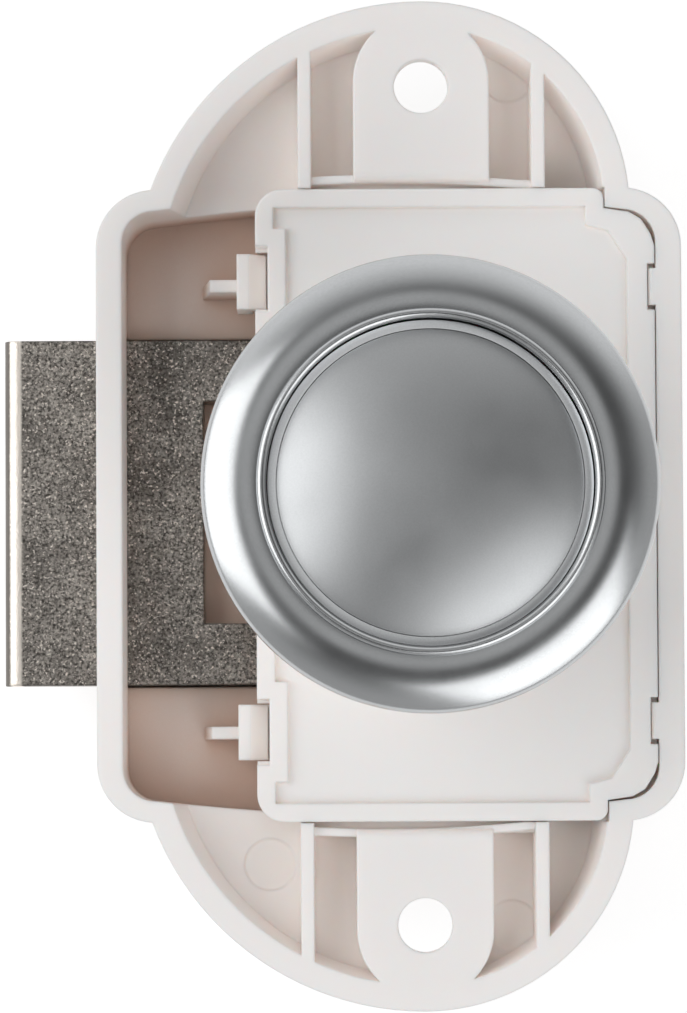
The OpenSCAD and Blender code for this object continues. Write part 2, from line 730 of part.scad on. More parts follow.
// Heart-shaped track, in the face towards +X, with the island that holds the wire
module heart_track() {
    d = follower_d;
    z = follower_z;
    end_z = z - travel - 0.8 * d;
    w = 0.8 * d;
    side = 3.1 * d;
    difference() {
        yz([[-w, end_z], [w, end_z], [w, end_z + 2 * d], [side, z - 3 * d], [side, z + 0.75 * d],
            [1.9 * d, z + 2 * d], [-0.4 * d, z + 0.78 * d], [-1.6 * d, z + 1.9 * d],
            [-side, z + 0.6 * d], [-side, z - 3 * d],
            [-w, end_z + 2 * d]], plunger_right - track_depth, plunger_right + past);
        yz([[0, z - 0.59 * d], [1.2 * d, z], [1.55 * d, z - 3 * d], [0, z - 5.7 * d], [-1.55 * d, z - 3 * d],
            [-1.2 * d, z + 0.12 * d]], plunger_right - track_depth - past, plunger_right + 2 * past);
    }
}

module plunger() {
    k = key_w / 2 + key_gap;
    color([0.82, 0.8, 0.76]) difference() {
        rbox(-plunger_left, plunger_right, -plunger_w / 2, plunger_w / 2, plunger_bottom, plunger_top,
            plunger_corner_r);
        translate([0, 0, plunger_bottom - past])
            cylinder(r = spring_bore_r, h = roof_z - plunger_bottom + past);
        translate([0, 0, plunger_bottom])
            cylinder(r = stem_screw_d / 2 + bore_gap, h = plunger_top - plunger_bottom + past);
        box(-k, k, -k, k, plunger_top - key_h - key_gap, plunger_top + past);
        both() cam_groove();
        heart_track();
    }
}

module knob_stem() {
    k = key_w / 2;
    color([0.86, 0.85, 0.83]) difference() {
        union() {
            translate([0, 0, plunger_top]) cylinder(d = stem_d, h = core_top - plunger_top);
            translate([0, 0, cap_bottom + cap_skirt])
                cylinder(r = button_r - cap_wall - cap_fit, h = core_top - cap_bottom - cap_skirt);
            box(-k, k, -k, k, plunger_top - key_h, plunger_top + root);
        }
        translate([0, 0, plunger_top - key_h - past])
            cylinder(r = stem_screw_d / 2 + press_gap,
                h = spring_top + screw_length + screw_room + key_h + past - plunger_top);
    }
}

module knob_cap() {
    edge = (button_d - face_d) / 2 - cap_edge_gap;
    z1 = button_edge_z - cap_edge_h;
    color([0.6, 0.61, 0.62]) difference() {
        union() {
            translate([0, 0, cap_bottom]) cylinder(r = button_r, h = z1 - cap_bottom, $fn = 96);
            translate([0, 0, z1]) cylinder(r1 = button_r, r2 = button_r - edge, h = cap_edge_h, $fn = 96);
        }
        translate([0, 0, cap_bottom - past])
            cylinder(r = button_r - cap_wall, h = core_top - cap_bottom + past, $fn = 96);
        translate([0, 0, button_edge_z - face_seat])
            cylinder(r = face_d / 2 + cap_fit, h = button_d, $fn = 96);
    }
}

module face_disc() {
    r = face_d / 2;
    dome_r = (r * r + face_rise * face_rise) / (2 * face_rise);
    color([0.66, 0.67, 0.68]) intersection() {
        translate([0, 0, button_edge_z - face_seat]) cylinder(r = r, h = face_seat + 2 * face_rise, $fn = 96);
        translate([0, 0, button_edge_z + face_rise - dome_r]) sphere(dome_r, $fn = 160);
    }
}

module stem_screw() {
    z = spring_top - stem_screw_head_h;
    l = screw_slot_l / 2;
    w = screw_slot_w / 2;
    color([0.7, 0.71, 0.73]) difference() {
        union() {
            translate([0, 0, z + root])
                cylinder(d = stem_screw_d, h = screw_length + stem_screw_head_h - root);
            translate([0, 0, z])
                cylinder(d1 = 0.83 * stem_screw_head_d, d2 = stem_screw_head_d, h = stem_screw_head_h);
        }
        for (a = [0, 90]) rotate([0, 0, a]) box(-l, l, -w, w, z - past, z + screw_slot_h);
    }
}

module spring_washer() {
    color([0.72, 0.72, 0.74]) difference() {
        translate([0, 0, spring_top]) cylinder(r = spring_bore_r - slide_gap, h = washer_t);
        translate([0, 0, spring_top - past])
            cylinder(r = stem_screw_d / 2 + bore_gap, h = washer_t + 2 * past);
    }
}

// One unbroken tube of wire along a list of points, 6 sides
module tube(path, r) {
    n = len(path);
    function dir(i) = let (v = path[min(i + 1, n - 1)] - path[max(i - 1, 0)]) v / norm(v);
    function side(i) = let (u = cross([0, 0, 1], dir(i))) u / norm(u);
    function up(i) = cross(dir(i), side(i));
    pts = [for (i = [0:n - 1], k = [0:5]) path[i] + r * (cos(60 * k) * side(i) + sin(60 * k) * up(i))];
    walls = [for (i = [0:n - 2], k = [0:5]) let (a = 6 * i + k, b = 6 * i + (k + 1) % 6)
        each [[a, b, a + 6], [b, b + 6, a + 6]]];
    ends = [for (k = [1:4]) each [[0, k + 1, k], [6 * n - 6, 6 * n - 6 + k, 6 * n - 5 + k]]];
    polyhedron(points = pts, faces = concat(walls, ends), convexity = 8);
}

// Middle line of the spring, with a straight end one wire thick at both ends
spring_z0 = floor_z + spring_wire_d / 2 + press_gap;
spring_z1 = spring_top - spring_wire_d / 2 - press_gap;
spring_steps = 8 * spring_turns;
spring_coil = [for (i = [0:spring_steps]) [spring_r * cos(45 * i), spring_r * sin(45 * i),
    spring_z0 + (spring_z1 - spring_z0) * i / spring_steps]];
spring_path = concat([spring_coil[0] - [0, spring_wire_d, 0]], spring_coil,
    [spring_coil[spring_steps] + spring_wire_d * [-sin(45 * spring_steps), cos(45 * spring_steps), 0]]);
spring_least_gap = min([for (i = [0:spring_steps - 5], j = [i + 5:spring_steps])
    norm(spring_coil[i] - spring_coil[j])]) - spring_wire_d;
echo("return spring, least gap to itself in mm", spring_least_gap);

module return_spring() {
    color([0.68, 0.68, 0.7]) tube(spring_path, spring_wire_d / 2);
}

module follower_wire() {
    r = follower_d / 2;
    color([0.75, 0.75, 0.77]) {
        translate([follower_tip_x, 0, follower_z]) rotate([0, 90, 0])
            cylinder(r = r, h = follower_x - follower_tip_x);
        translate([follower_x, 0, follower_z]) sphere(r);
        translate([follower_x, 0, follower_z])
            cylinder(r = r, h = plate_bottom - tab_gap - wire_gap - follower_z);
    }
}

module follower_leaf() {
    color([0.7, 0.7, 0.66]) box(foot_x + foot_t - touch_gap - leaf_l, foot_x + foot_t - touch_gap,
        -leaf_w / 2, leaf_w / 2, leaf_z - leaf_t, leaf_z);
}

housing();
cover_plate();
sleeve();
rosette();
bolt();
drive_pins();
plunger();
knob_stem();
knob_cap();
face_disc();
stem_screw();
spring_washer();
return_spring();
follower_wire();
follower_leaf();
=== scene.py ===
"""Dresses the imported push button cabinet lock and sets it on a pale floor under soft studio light."""

import math

import bmesh
import bpy
from mathutils import Matrix, Vector


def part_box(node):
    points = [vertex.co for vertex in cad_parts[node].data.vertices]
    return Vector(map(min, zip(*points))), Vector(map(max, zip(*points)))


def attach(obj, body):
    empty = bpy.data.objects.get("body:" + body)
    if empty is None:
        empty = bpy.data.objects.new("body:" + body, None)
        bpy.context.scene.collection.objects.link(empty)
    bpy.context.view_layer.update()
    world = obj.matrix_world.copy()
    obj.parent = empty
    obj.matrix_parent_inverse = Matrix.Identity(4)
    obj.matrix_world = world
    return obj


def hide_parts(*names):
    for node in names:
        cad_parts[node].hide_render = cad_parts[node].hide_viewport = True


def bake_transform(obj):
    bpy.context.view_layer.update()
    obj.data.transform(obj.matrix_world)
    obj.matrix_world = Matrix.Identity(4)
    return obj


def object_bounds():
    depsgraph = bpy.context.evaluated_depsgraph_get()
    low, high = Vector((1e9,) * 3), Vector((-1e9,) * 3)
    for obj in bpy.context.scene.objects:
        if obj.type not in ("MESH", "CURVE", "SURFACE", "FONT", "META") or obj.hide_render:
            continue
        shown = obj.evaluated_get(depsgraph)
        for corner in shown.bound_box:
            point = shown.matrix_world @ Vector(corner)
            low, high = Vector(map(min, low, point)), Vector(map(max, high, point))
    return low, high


bl_info = {
    "name": "Push Button Cabinet Lock",
    "version": (1, 0, 0),
    "blender": (4, 5, 0),
    "location": "3D View > Sidebar > Lock",
    "description": "Finishes for a push button cabinet lock: mouldings, bolt, rosette, button and springs",
    "category": "Object",
}

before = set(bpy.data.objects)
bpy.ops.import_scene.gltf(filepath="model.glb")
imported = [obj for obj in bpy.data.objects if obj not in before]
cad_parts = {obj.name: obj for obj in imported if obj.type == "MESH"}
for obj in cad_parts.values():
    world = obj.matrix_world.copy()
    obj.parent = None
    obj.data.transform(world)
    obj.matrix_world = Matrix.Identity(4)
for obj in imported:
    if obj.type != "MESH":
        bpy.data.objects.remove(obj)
CAD_BOX = [list(v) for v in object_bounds()]
MM = 0.001

# Steps round the axis, along one turn of the spring, and round its wire
LATHE_STEPS = 192
COIL_STEPS = 32
WIRE_STEPS = 12
SHARP_EDGE = math.radians(38)

# Stage: the floor lies just under the case; lamps by name, angle round Z, angle from overhead, size and share
FLOOR_Z = CAD_BOX[0][2] - 0.02 * MM
FLOOR_GREY = 0.45
FLOOR_LIFT = 0.7
LAMP_DISTANCE = 0.45
SOFTBOXES = (
    ("left_softbox", 175, 48, (0.42, 0.39), 1.03),
    ("near_softbox", -51, 48, (0.38, 0.38), 0.9),
)
OVERHEAD_AXIS = (-0.03, 0.13, 0.991)
FAR_WALL_SPAN = (0.25, 0.75)
CAMERA_X, CAMERA_Y = -6.55 * MM, -18.78 * MM
CAMERA_TURN = (math.radians(1.937), 0, math.radians(-0.287))
CAMERA_SHIFT = (0.01476, 0.1498)

# Satin chrome by piece: share of the chrome colour, roughness and depth of the grain; the cup's flat rim has a
# brighter share, a painted highlight
CHROME = {
    "ring_chrome": (0.86, 0.25, 0.000002),
    "cup_chrome": (1.05, 0.3, 0.000003),
    # Painted highlight: the up-facing faces of the cup get this brighter copy of the chrome
    "painted_highlight_rim_chrome": (1.55, 0.3, 0.000003),
    "face_chrome": (0.82, 0.38, 0.000008),
}

# Painted highlight across the bolt nose: from the tip to its middle, and half its width
NOSE_MIDDLE, NOSE_HALF = 0.8 * MM, 0.4 * MM

# Small fits of the turned pieces
BORE_GAP = 0.1 * MM  # round the button, in the ring's bore
COLLAR_STEP = 1.05 * MM  # from the sleeve's outside to the ring's collar
BEAD_LIP = 0.05 * MM  # how far the bead stands into the bore
BEAD_SINK = 0.02 * MM  # how far the bead sinks into the ring's face
BEAD_REACH = 84  # degrees of the bead to each side of its top
SEAT_GAP = 0.05 * MM  # round the disc and the stem, in the cup
RIM_SEAM = 0.08 * MM  # from the disc to the bevelled edge of the cup
RIM_SOFT = 0.04 * MM  # rounding outside that edge


# Settings that a user would change


class LockFinishSettings(bpy.types.PropertyGroup):
    """Colours and grain of the lock's finishes"""

    plastic: bpy.props.FloatVectorProperty(
        name="Plastic", description="Colour of the white mouldings", subtype="COLOR",
        size=3, min=0, max=1, default=(0.88, 0.86, 0.85),
    )
    # Painted light: a warmer, brighter colour that the hollow mask lays into the hollows, for light that glows
    # through the thin walls and bounces between them
    hollow_shading: bpy.props.FloatVectorProperty(
        name="Hollow", description="Warmer colour of the same plastic in its hollows", subtype="COLOR",
        size=3, min=0, max=1, default=(1.0, 0.925, 0.885),
    )
    # Painted shade: a darker, warmer colour laid onto the plastic low down in the case
    depth: bpy.props.FloatVectorProperty(
        name="Depth", description="Colour of the same plastic low down in the case", subtype="COLOR",
        size=3, min=0, max=1, default=(0.7, 0.53, 0.44),
    )
    natural: bpy.props.FloatVectorProperty(
        name="Natural plastic", description="Colour of the plunger and the stem", subtype="COLOR",
        size=3, min=0, max=1, default=(0.72, 0.69, 0.62),
    )
    nickel: bpy.props.FloatVectorProperty(
        name="Nickel", description="Colour of the bolt plating", subtype="COLOR",
        size=3, min=0, max=1, default=(0.36, 0.331, 0.299),
    )
    chrome: bpy.props.FloatVectorProperty(
        name="Satin chrome", description="Colour of the rosette and the button", subtype="COLOR",
        size=3, min=0, max=1, default=(0.596, 0.61, 0.62),
    )
    steel: bpy.props.FloatVectorProperty(
        name="Steel", description="Colour of springs, pins and screw", subtype="COLOR",
        size=3, min=0, max=1, default=(0.56, 0.56, 0.57),
    )
    edge_radius: bpy.props.FloatProperty(
        name="Edge radius", description="Softening of the moulded edges", subtype="DISTANCE",
        unit="LENGTH", min=0, max=0.001, default=0.00028, precision=5,
    )


class LockTurningSettings(bpy.types.PropertyGroup):
    """Sizes of the turned pieces that aren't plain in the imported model"""

    ring_height: bpy.props.FloatProperty(
        name="Ring height", description="Height of the rosette over the door", subtype="DISTANCE",
        unit="LENGTH", default=0.0026, precision=5,
    )
    ring_crest: bpy.props.FloatProperty(
        name="Ring crest", description="Distance of the ring's highest line from its outer edge",
        subtype="DISTANCE", unit="LENGTH", default=0.00295, precision=5,
    )
    ring_face: bpy.props.FloatProperty(
        name="Ring face", description="Radius of the broad rounded face of the ring", subtype="DISTANCE",
        unit="LENGTH", default=0.0045, precision=5,
    )
    ring_edge: bpy.props.FloatProperty(
        name="Ring edge", description="Radius of the rounded outer edge of the ring", subtype="DISTANCE",
        unit="LENGTH", default=0.0007, precision=5,
    )
    bead_radius: bpy.props.FloatProperty(
        name="Bead", description="Radius of the small bead round the button", subtype="DISTANCE",
        unit="LENGTH", default=0.00032, precision=5,
    )
    spring_wire: bpy.props.FloatProperty(
        name="Spring wire", description="Thickness of the return spring's wire", subtype="DISTANCE",
        unit="LENGTH", default=0.0008, precision=5,
    )
    spring_turns: bpy.props.FloatProperty(
        name="Spring turns", description="Turns of the return spring", default=5,
    )
    edge_height: bpy.props.FloatProperty(
        name="Cup edge", description="Height of the bevelled cup edge", subtype="DISTANCE",
        unit="LENGTH", default=0.00002, precision=5,
    )
    face_rise: bpy.props.FloatProperty(
        name="Face rise", description="Rise of the domed button face", subtype="DISTANCE",
        unit="LENGTH", default=0.0017, precision=5,
    )


class LockStageSettings(bpy.types.PropertyGroup):
    """Camera and light"""

    camera_height: bpy.props.FloatProperty(
        name="Camera height", description="Height of the camera over the case rim", subtype="DISTANCE",
        unit="LENGTH", default=0.245, precision=4,
    )
    lens: bpy.props.FloatProperty(
        name="Lens", description="Focal length in mm on a 36 mm long side", default=127.84,
    )
    overhead: bpy.props.FloatProperty(
        name="Overhead", description="Brightness of the room straight over the lock", default=0.66,
    )
    walls: bpy.props.FloatProperty(
        name="Walls", description="Brightness of the room's walls", default=0.05,
    )
    far_wall: bpy.props.FloatProperty(
        name="Far wall", description="Extra brightness of the wall beyond the lock", default=0.58,
    )
    horizon: bpy.props.FloatProperty(
        name="Horizon", description="Brightness low down all round", default=0.53,
    )
    softbox: bpy.props.FloatProperty(
        name="Softboxes", description="Brightness of the two softboxes", default=2.1,
    )


def settings():
    scene = bpy.context.scene
    return scene.lock_finish, scene.lock_turning, scene.lock_stage


# Node groups


def new_group(name, inputs, outputs):
    """An empty shader node group with its sockets: (name, socket type, default or None)"""
    tree = bpy.data.node_groups.new(name, "ShaderNodeTree")
    for label, kind, default in inputs:
        socket = tree.interface.new_socket(label, in_out="INPUT", socket_type=kind)
        if default is not None:
            socket.default_value = default
    for label, kind in outputs:
        tree.interface.new_socket(label, in_out="OUTPUT", socket_type=kind)
    return tree, tree.nodes.new("NodeGroupInput"), tree.nodes.new("NodeGroupOutput")


def add(tree, kind, **values):
    """One node; values are its attributes, or defaults of its sockets where the name starts with in_"""
    node = tree.nodes.new(kind)
    for key, value in values.items():
        if key.startswith("in_"):
            node.inputs[key[3:].replace("_", " ")].default_value = value
        else:
            setattr(node, key, value)
    return node


def grain_group():
    """Even grain of a surface: fine value, coarse value, and a mask of rare specks that the bolt's material uses
    for painted glints
    """
    tree, into, out = new_group(
        "surface_grain",
        [("Scale", "NodeSocketFloat", 3000.0), ("Coarse Scale", "NodeSocketFloat", 300.0),
         ("Speck Level", "NodeSocketFloat", 0.68)],
        [("Fine", "NodeSocketFloat"), ("Coarse", "NodeSocketFloat"), ("Specks", "NodeSocketFloat")],
    )
    place = add(tree, "ShaderNodeTexCoord")
    fine = add(tree, "ShaderNodeTexNoise", in_Detail=3.0, in_Roughness=0.6)
    coarse = add(tree, "ShaderNodeTexNoise", in_Detail=2.0, in_Roughness=0.5)
    speck = add(tree, "ShaderNodeTexNoise", in_Detail=3.0, in_Roughness=0.6)
    offset = add(tree, "ShaderNodeVectorMath", operation="ADD")
    offset.inputs[1].default_value = (0.31, 0.17, 0.53)
    tree.links.new(place.outputs["Object"], offset.inputs[0])
    for node in (fine, coarse):
        tree.links.new(place.outputs["Object"], node.inputs["Vector"])
    tree.links.new(offset.outputs[0], speck.inputs["Vector"])
    tree.links.new(into.outputs["Scale"], fine.inputs["Scale"])
    tree.links.new(into.outputs["Scale"], speck.inputs["Scale"])
    tree.links.new(into.outputs["Coarse Scale"], coarse.inputs["Scale"])
    level = add(tree, "ShaderNodeMath", operation="SUBTRACT")
    tree.links.new(speck.outputs["Fac"], level.inputs[0])
    tree.links.new(into.outputs["Speck Level"], level.inputs[1])
    steep = add(tree, "ShaderNodeMath", operation="MULTIPLY", use_clamp=True)
    steep.inputs[1].default_value = 14.0
    tree.links.new(level.outputs[0], steep.inputs[0])
    tree.links.new(fine.outputs["Fac"], out.inputs["Fine"])
    tree.links.new(coarse.outputs["Fac"], out.inputs["Coarse"])
    tree.links.new(steep.outputs[0], out.inputs["Specks"])
    return tree


def hollow_group():
    """Masks for painted shading: how far into a recess a point lies, 0 in the open and 1 with little sky left;
    Deep counts only low down
    """
    tree, into, out = new_group(
        "hollow_mask",
        [("Distance", "NodeSocketFloat", 0.012),
         ("Start", "NodeSocketFloat", 0.75), ("End", "NodeSocketFloat", 0.3),
         ("Upper", "NodeSocketFloat", -0.0045), ("Lower", "NodeSocketFloat", -0.007)],
        [("Mask", "NodeSocketFloat"), ("Deep", "NodeSocketFloat")],
    )
    sky = add(tree, "ShaderNodeAmbientOcclusion", samples=12, only_local=False)
    place = add(tree, "ShaderNodeTexCoord")
    split = add(tree, "ShaderNodeSeparateXYZ")
    span = add(tree, "ShaderNodeMapRange", clamp=True)
    depth = add(tree, "ShaderNodeMapRange", clamp=True)
    shading_mask = add(tree, "ShaderNodeMath", operation="MULTIPLY")
    tree.links.new(into.outputs["Distance"], sky.inputs["Distance"])
    tree.links.new(place.outputs["Object"], split.inputs[0])
    for node, value, low, high in (
        (span, sky.outputs["AO"], "Start", "End"),
        (depth, split.outputs["Z"], "Upper", "Lower"),
    ):
        tree.links.new(value, node.inputs["Value"])
        tree.links.new(into.outputs[low], node.inputs["From Min"])
        tree.links.new(into.outputs[high], node.inputs["From Max"])
    tree.links.new(span.outputs["Result"], shading_mask.inputs[0])
    tree.links.new(depth.outputs["Result"], shading_mask.inputs[1])
    tree.links.new(span.outputs["Result"], out.inputs["Mask"])
    tree.links.new(shading_mask.outputs[0], out.inputs["Deep"])
    return tree


def edge_group():
    """Softened normal, and a mask of the edges"""
    tree, into, out = new_group(
        "soft_edges", [("Radius", "NodeSocketFloat", 0.00016)],
        [("Normal", "NodeSocketVector"), ("Edge", "NodeSocketFloat")],
    )
    soft = add(tree, "ShaderNodeBevel", samples=6)
    true = add(tree, "ShaderNodeNewGeometry")
    dot = add(tree, "ShaderNodeVectorMath", operation="DOT_PRODUCT")
    span = add(tree, "ShaderNodeMapRange", clamp=True)
    span.inputs["From Min"].default_value = 0.995
    span.inputs["From Max"].default_value = 0.8
    tree.links.new(into.outputs["Radius"], soft.inputs["Radius"])
    tree.links.new(soft.outputs["Normal"], dot.inputs[0])
    tree.links.new(true.outputs["Normal"], dot.inputs[1])
    tree.links.new(dot.outputs["Value"], span.inputs["Value"])
    tree.links.new(soft.outputs["Normal"], out.inputs["Normal"])
    tree.links.new(span.outputs["Result"], out.inputs["Edge"])
    return tree


GROUP_MAKERS = {"surface_grain": grain_group, "hollow_mask": hollow_group, "soft_edges": edge_group}


def place_group(tree, name, **values):
    """Puts a shared group into a material, made the first time it is asked for"""
    node = tree.nodes.new("ShaderNodeGroup")
    node.node_tree = bpy.data.node_groups.get(name) or GROUP_MAKERS[name]()
    for key, value in values.items():
        node.inputs[key.replace("_", " ")].default_value = value
    return node


# Materials


def new_material(name, colour):
    material = bpy.data.materials.new(name)
    material.use_nodes = True
    material.diffuse_color = (*colour, 1)
    return material, material.node_tree, material.node_tree.nodes["Principled BSDF"]


def mix_colour(tree, factor, a, b):
    """Colour between a and b, each a fixed colour or a socket, by a factor socket"""
    mix = add(tree, "ShaderNodeMix", data_type="RGBA")
    tree.links.new(factor, mix.inputs["Factor"])
    for socket, value in ((mix.inputs[6], a), (mix.inputs[7], b)):
        if isinstance(value, bpy.types.NodeSocket):
            tree.links.new(value, socket)
        else:
            socket.default_value = (*value, 1)
    return mix.outputs[2]


def span_of(tree, value, low, high, start=0.3, end=0.7):
    """Map of a grain value between start and end onto low to high"""
    span = add(tree, "ShaderNodeMapRange", clamp=True)
    span.inputs["From Min"].default_value = start
    span.inputs["From Max"].default_value = end
    span.inputs["To Min"].default_value = low
    span.inputs["To Max"].default_value = high
    tree.links.new(value, span.inputs["Value"])
    return span.outputs["Result"]


def bump_on(tree, shader, height, depth, strength, normal=None):
    bump = add(tree, "ShaderNodeBump", in_Strength=strength, in_Distance=depth)
    tree.links.new(height, bump.inputs["Height"])
    if normal is not None:
        tree.links.new(normal, bump.inputs["Normal"])
    tree.links.new(bump.outputs["Normal"], shader.inputs["Normal"])


def moulded_plastic(name, colour, hollow_shading, depth, edge_radius):
    """Smooth moulded plastic with soft edges and a faint mould texture, a little warmer in its hollows and darker
    low down: painted light and shade laid on by the hollow mask
    """
    material, tree, shader = new_material(name, colour)
    grain = place_group(tree, "surface_grain", Scale=5200.0, Coarse_Scale=140.0)
    shading_mask = place_group(tree, "hollow_mask")
    edge = place_group(tree, "soft_edges", Radius=edge_radius)
    shade = span_of(tree, grain.outputs["Coarse"], 0.0, 0.07)
    body = mix_colour(tree, shade, colour, tuple(c * 0.93 for c in colour))
    # Painted light and shade: the hollow colour goes in by the mask of hollows, the depth colour by the mask of
    # low hollows
    with_hollow_shading = mix_colour(tree, shading_mask.outputs["Mask"], body, hollow_shading)
    tree.links.new(mix_colour(tree, shading_mask.outputs["Deep"], with_hollow_shading, depth), shader.inputs["Base Color"])
    tree.links.new(span_of(tree, grain.outputs["Fine"], 0.36, 0.46), shader.inputs["Roughness"])
    shader.inputs["IOR"].default_value = 1.48
    shader.inputs["Specular IOR Level"].default_value = 0.4
    shader.inputs["Subsurface Weight"].default_value = 0.5
    shader.inputs["Subsurface Radius"].default_value = (1.0, 0.7, 0.6)
    shader.inputs["Subsurface Scale"].default_value = 0.0012
    bump_on(tree, shader, grain.outputs["Fine"], 0.00001, 0.25, edge.outputs["Normal"])
    return material


def grainy_nickel(name, colour, edge_radius, strip_x):
    """Barrel plated steel: fine grain with bright specks as painted glints, painted shade on its edges and in its
    corners and at the nose tip, and a painted highlight across the nose at strip_x
    """
    material, tree, shader = new_material(name, colour)
    grain = place_group(tree, "surface_grain", Scale=5200.0, Coarse_Scale=260.0, Speck_Level=0.58)
    edge = place_group(tree, "soft_edges", Radius=edge_radius)
    place = add(tree, "ShaderNodeTexCoord")
    split = add(tree, "ShaderNodeSeparateXYZ")
    off = add(tree, "ShaderNodeMath", operation="SUBTRACT")
    off.inputs[1].default_value = strip_x
    away = add(tree, "ShaderNodeMath", operation="ABSOLUTE")
    tree.links.new(place.outputs["Object"], split.inputs[0])
    tree.links.new(split.outputs["X"], off.inputs[0])
    tree.links.new(off.outputs[0], away.inputs[0])
    # Painted highlight: a bright strip across the nose, where its rounded end reflects a softbox
    nose_highlight = span_of(tree, away.outputs[0], 0.0, 1.0, NOSE_HALF * 1.2, NOSE_HALF * 0.8)
    # Painted shade: the very tip of the nose darker than the rest
    tip = span_of(tree, off.outputs[0], 0.0, 1.0, -NOSE_HALF, -NOSE_HALF * 1.3)
    # The darkest colour serves the grain and the painted shade; the brightest serves painted glints and the
    # painted highlight
    dark = tuple(c * 0.22 for c in colour)
    light = tuple(c * 1.7 for c in colour)
    bright = tuple(min(1, c * 2.4) for c in colour)
    # Grain from 0.22 to 1.7 of the colour: partly real grain, partly painted glints of the plating's tiny facets
    base = mix_colour(tree, span_of(tree, grain.outputs["Fine"], 0.0, 1.0, 0.36, 0.64), dark, light)
    mottled = mix_colour(tree, span_of(tree, grain.outputs["Coarse"], 0.0, 0.65), base, dark)
    # Painted glints: rare specks in the brightest colour
    with_glints = mix_colour(tree, grain.outputs["Specks"], mottled, bright)
    # Painted shade on the edges and in the corners
    edge_shaded = mix_colour(tree, edge.outputs["Edge"], with_glints, dark)
    tip_shaded = mix_colour(tree, tip, edge_shaded, tuple(c * 0.55 for c in colour))
    tree.links.new(mix_colour(tree, nose_highlight, tip_shaded, bright), shader.inputs["Base Color"])
    shader.inputs["Metallic"].default_value = 1.0
    tree.links.new(span_of(tree, grain.outputs["Coarse"], 0.3, 0.44), shader.inputs["Roughness"])
    bump_on(tree, shader, grain.outputs["Fine"], 0.00005, 0.5, edge.outputs["Normal"])
    return material


def satin_chrome(name, chrome):
    """Chrome with a fine blasted grain"""
    share, roughness, grain_depth = CHROME[name]
    colour = tuple(c * share for c in chrome)
    material, tree, shader = new_material(name, colour)
    grain = place_group(tree, "surface_grain", Scale=9000.0, Coarse_Scale=260.0)
    low = tuple(c * 0.92 for c in colour)
    base = mix_colour(tree, span_of(tree, grain.outputs["Fine"], 0.0, 1.0), low, colour)
    tree.links.new(base, shader.inputs["Base Color"])
    shader.inputs["Metallic"].default_value = 1.0
    rough = span_of(tree, grain.outputs["Coarse"], roughness - 0.02, roughness + 0.02)
    tree.links.new(rough, shader.inputs["Roughness"])
    bump_on(tree, shader, grain.outputs["Fine"], grain_depth, 0.4)
    return material


def drawn_steel(name, colour):
    """Bright plated wire and screw steel"""
    material, tree, shader = new_material(name, colour)
    grain = place_group(tree, "surface_grain", Scale=6000.0, Coarse_Scale=600.0)
    low = tuple(c * 0.85 for c in colour)
    base = mix_colour(tree, span_of(tree, grain.outputs["Coarse"], 0.0, 1.0), low, colour)
    tree.links.new(base, shader.inputs["Base Color"])
    shader.inputs["Metallic"].default_value = 1.0
    tree.links.new(span_of(tree, grain.outputs["Fine"], 0.22, 0.34), shader.inputs["Roughness"])
    bump_on(tree, shader, grain.outputs["Fine"], 0.00001, 0.3)
    return material


def dress(nodes, material):
    """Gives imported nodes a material"""
    for name in nodes:
        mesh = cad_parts[name].data
        mesh.materials.clear()
        mesh.materials.append(material)


# Turned pieces


def arc(centre, radius, start, end, steps):
    """Points of an arc in the turning plane, angles in degrees"""
    return [
        (centre[0] + radius * math.cos(math.radians(start + (end - start) * i / steps)),
         centre[1] + radius * math.sin(math.radians(start + (end - start) * i / steps)))
        for i in range(steps + 1)
    ]


def turned(name, outline, closed=True):
    """Solid of revolution about Z from (radius, height) points; an open outline starts and ends on the axis"""
    bm = bmesh.new()
    rings = []
    for radius, height in outline:
        if radius < 1e-7:
            rings.append([bm.verts.new((0, 0, height))])
        else:
            rings.append([
                bm.verts.new((radius * math.cos(turn), radius * math.sin(turn), height))
                for turn in (math.tau * k / LATHE_STEPS for k in range(LATHE_STEPS))
            ])
    pairs = list(zip(rings, rings[1:] + rings[:1])) if closed else list(zip(rings, rings[1:]))
    for a, b in pairs:
        for k in range(LATHE_STEPS):
            n = (k + 1) % LATHE_STEPS
            corners = [a[k % len(a)], a[n % len(a)], b[n % len(b)], b[k % len(b)]]
            bm.faces.new(list(dict.fromkeys(corners)))
    return made(name, bm)


def coil(name, radius, wire, low, high, turns):
    """Coil spring about Z: radius of its middle line, radius of its wire, and the heights of its two ends"""
    bm = bmesh.new()
    rise = (high - low) / (turns * math.tau)
    slope = math.atan2(rise, radius)
    sections = []
    for i in range(round(turns * COIL_STEPS) + 1):
        turn = math.tau * i / COIL_STEPS
        out = Vector((math.cos(turn), math.sin(turn), 0))
        along = Vector((-out.y * math.cos(slope), out.x * math.cos(slope), math.sin(slope)))
        up = out.cross(along)
        middle = radius * out + Vector((0, 0, low + rise * turn))
        sections.append([
            bm.verts.new(middle + wire * (math.cos(side) * out + math.sin(side) * up))
            for side in (math.tau * k / WIRE_STEPS for k in range(WIRE_STEPS))
        ])
    for a, b in zip(sections, sections[1:]):
        for k in range(WIRE_STEPS):
            n = (k + 1) % WIRE_STEPS
            bm.faces.new((a[k], a[n], b[n], b[k]))
    bm.faces.new(sections[0])
    bm.faces.new(sections[-1])
    return made(name, bm)


def made(name, bm):
    """Turns a bmesh into a smooth shaded piece in the scene"""
    bmesh.ops.recalc_face_normals(bm, faces=bm.faces)
    mesh = bpy.data.meshes.new(name)
    bm.to_mesh(mesh)
    bm.free()
    mesh.shade_smooth()
    mesh.set_sharp_from_angle(angle=SHARP_EDGE)
    piece = bpy.data.objects.new(name, mesh)
    bpy.context.scene.collection.objects.link(piece)
    return piece


def stand_for(piece, node, body, material):
    """Seats a made piece: its material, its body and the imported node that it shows"""
    piece.data.materials.append(material)
    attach(piece, body)
    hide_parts(node)


# Operators


